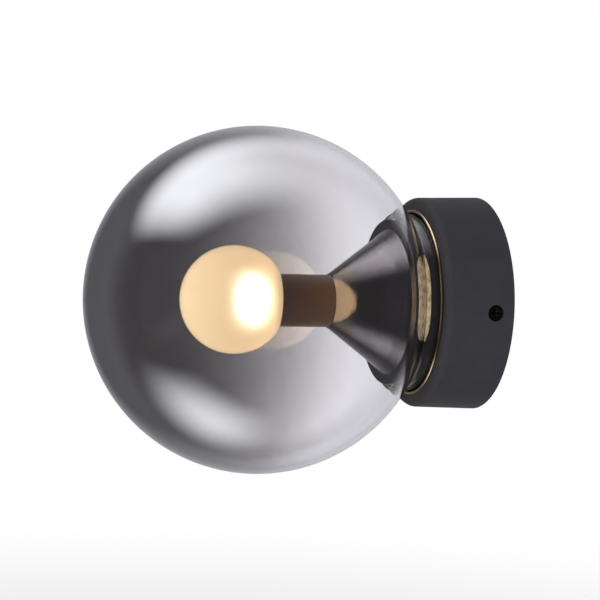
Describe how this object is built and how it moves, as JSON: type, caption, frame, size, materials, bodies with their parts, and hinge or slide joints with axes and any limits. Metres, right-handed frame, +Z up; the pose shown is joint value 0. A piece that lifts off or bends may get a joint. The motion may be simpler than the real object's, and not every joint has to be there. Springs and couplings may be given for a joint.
{
  "type": "globe wall sconce",
  "caption": "Wall light with a smoked glass globe on a round black cup, a black cone and a tube that carries a lit opal lamp.",
  "frame": {"origin": "centre of the back of the cup, on the wall plane", "axes": "+Y into the wall, square to its face; the lamp stands out along -Y; +Z up"},
  "size_m": [0.15, 0.175, 0.15],
  "materials": {
    "cup_paint": "satin black powder coat",
    "drum_paint": "semi-gloss black paint",
    "cone_paint": "gloss black paint",
    "tube_paint": "satin dark brown paint",
    "smoke_glass": "smoked glass, darker and mirrored towards the front",
    "opal": "lit opal",
    "lamp_white": "white moulding",
    "cap_metal": "nickel-plated cap",
    "cap_insulator": "black glass insulator",
    "contact_metal": "bright contact brass",
    "board": "white-coated board",
    "driver": "green circuit board",
    "chips": "yellow phosphor",
    "zinc": "zinc-plated steel",
    "black_screw": "blackened steel",
    "earth_metal": "tinned brass",
    "holder_moulding": "black thermoset",
    "contact_ceramic": "white steatite",
    "block_moulding": "natural nylon",
    "seal_rubber": "black silicone rubber",
    "live_sleeve": "brown insulation",
    "neutral_sleeve": "blue insulation",
    "earth_sleeve": "green and yellow insulation"
  },
  "bodies": {
    "canopy": {"canopy_cup": "cup_paint", "wall_bracket": "zinc", "lug_nuts": "zinc", "cable_bush": "seal_rubber", "terminal_block": "block_moulding", "terminal_tubes": "contact_metal", "terminal_screws": "zinc", "block_screw": "zinc", "earth_screw": "earth_metal", "earth_ring": "earth_metal", "wire_earth": "earth_sleeve", "earth_tag": "earth_metal", "wire_live": "live_sleeve", "wire_neutral": "neutral_sleeve", "gallery_ring": "zinc", "neck_collar": "drum_paint", "lamp_plate": "zinc", "collar_screws": "zinc", "collar_nuts": "zinc", "nipple": "zinc", "nipple_nuts": "zinc", "lock_washers": "zinc", "cone_cover": "cone_paint", "cone_rivets": "zinc", "socket_sleeve": "tube_paint", "holder_body": "holder_moulding", "holder_shell": "contact_metal", "contact_block": "contact_ceramic", "neutral_contact": "contact_metal"},
    "neck_seal": {"neck_gasket": "seal_rubber"},
    "globe": {"glass_globe": "smoke_glass"},
    "lamp_tip": {"bulb_insulator": "cap_insulator", "bulb_tip": "contact_metal"},
    "lamp": {"bulb_diffuser": "opal", "bulb_collar": "lamp_white", "bulb_screw_cap": "cap_metal", "led_board": "board", "led_chips": "chips", "driver_board": "driver"},
    "contact": {"centre_contact": "contact_metal"},
    "right_washer": {"right_screw_washer": "zinc"},
    "right_screw": {"side_screw_right": "black_screw"},
    "left_washer": {"left_screw_washer": "zinc"},
    "left_screw": {"side_screw_left": "black_screw"}
  },
  "joints": [
    {"name": "globe_lift", "type": "slide", "parent": "canopy", "child": "neck_seal", "axis": [0, -1, 0], "range_m": [0, 0.125]},
    {"name": "globe_turn", "type": "hinge", "parent": "neck_seal", "child": "globe", "pos_m": [0, -0.1, 0], "axis": [0, -1, 0], "range_deg": [0, 540]},
    {"name": "bulb_lift", "type": "slide", "parent": "canopy", "child": "lamp_tip", "axis": [0, -1, 0], "range_m": [0, 0.0263]},
    {"name": "bulb_turn", "type": "hinge", "parent": "lamp_tip", "child": "lamp", "pos_m": [0, -0.08, 0], "axis": [0, -1, 0], "range_deg": [0, 3360]},
    {"name": "contact_press", "type": "slide", "parent": "canopy", "child": "contact", "axis": [0, 1, 0], "range_m": [0, 0.0007], "stiffness_N_per_m": 600},
    {"name": "right_screw_travel", "type": "slide", "parent": "canopy", "child": "right_washer", "axis": [1, 0, 0], "range_m": [0, 0.0084]},
    {"name": "right_screw_turn", "type": "hinge", "parent": "right_washer", "child": "right_screw", "pos_m": [0.04, -0.0084, 0], "axis": [1, 0, 0], "range_deg": [0, 4321]},
    {"name": "left_screw_travel", "type": "slide", "parent": "canopy", "child": "left_washer", "axis": [-1, 0, 0], "range_m": [0, 0.0084]},
    {"name": "left_screw_turn", "type": "hinge", "parent": "left_washer", "child": "left_screw", "pos_m": [-0.04, -0.0084, 0], "axis": [-1, 0, 0], "range_deg": [0, 4321]}
  ],
  "couplings": [
    {"joint": "bulb_turn", "follows": "bulb_lift", "rad_per_m": 2226.5},
    {"joint": "right_screw_turn", "follows": "right_screw_travel", "rad_per_m": 8976},
    {"joint": "left_screw_turn", "follows": "left_screw_travel", "rad_per_m": 8976}
  ]
}
